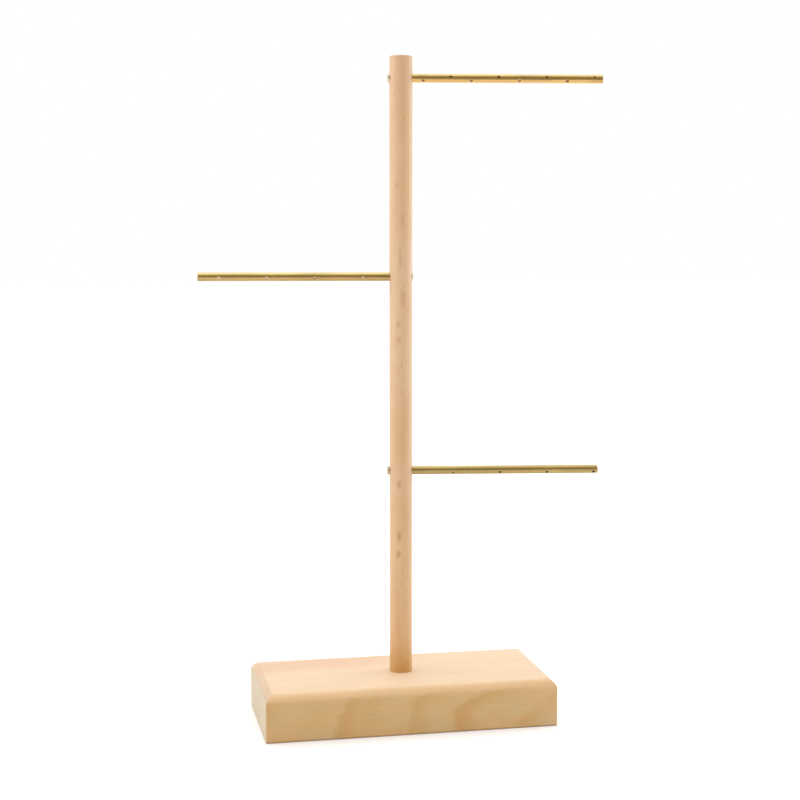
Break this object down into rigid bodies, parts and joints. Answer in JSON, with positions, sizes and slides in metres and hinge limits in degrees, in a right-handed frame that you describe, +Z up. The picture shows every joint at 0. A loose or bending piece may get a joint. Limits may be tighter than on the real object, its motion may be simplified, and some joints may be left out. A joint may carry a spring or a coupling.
{
  "type": "display rack",
  "caption": "Counter-top display rack: a wooden block carries a round wooden post with drilled brass rods pushed through it to alternate sides, for hooks and hung goods.",
  "frame": {"origin": "centre of the base block's underside, on the post's axis", "axes": "+X along the block towards the side that the top and bottom rods point to, +Y to the back, +Z up along the post"},
  "size_m": [0.2801, 0.094, 0.467],
  "materials": {
    "base_wood": "sanded softwood, thin matt lacquer",
    "post_wood": "sanded beech dowel, thin matt lacquer",
    "rod_brass": "drawn, satin",
    "screw_steel": "zinc plated"
  },
  "bodies": {
    "stand": {"base_block": "base_wood", "post": "post_wood", "post_screw": "screw_steel"},
    "top_rod": {"top_rod": "rod_brass"},
    "middle_rod": {"middle_rod": "rod_brass"},
    "bottom_rod": {"bottom_rod": "rod_brass"}
  },
  "joints": [
    {"name": "top_rod_slide", "type": "slide", "parent": "stand", "child": "top_rod", "axis": [0.989, -0.1478, 0], "range_m": [-0.1323, 0.018]},
    {"name": "middle_rod_slide", "type": "slide", "parent": "stand", "child": "middle_rod", "axis": [-0.989, 0.1478, 0], "range_m": [-0.1332, 0.018]},
    {"name": "bottom_rod_slide", "type": "slide", "parent": "stand", "child": "bottom_rod", "axis": [0.989, -0.1478, 0], "range_m": [-0.1319, 0.018]}
  ]
}
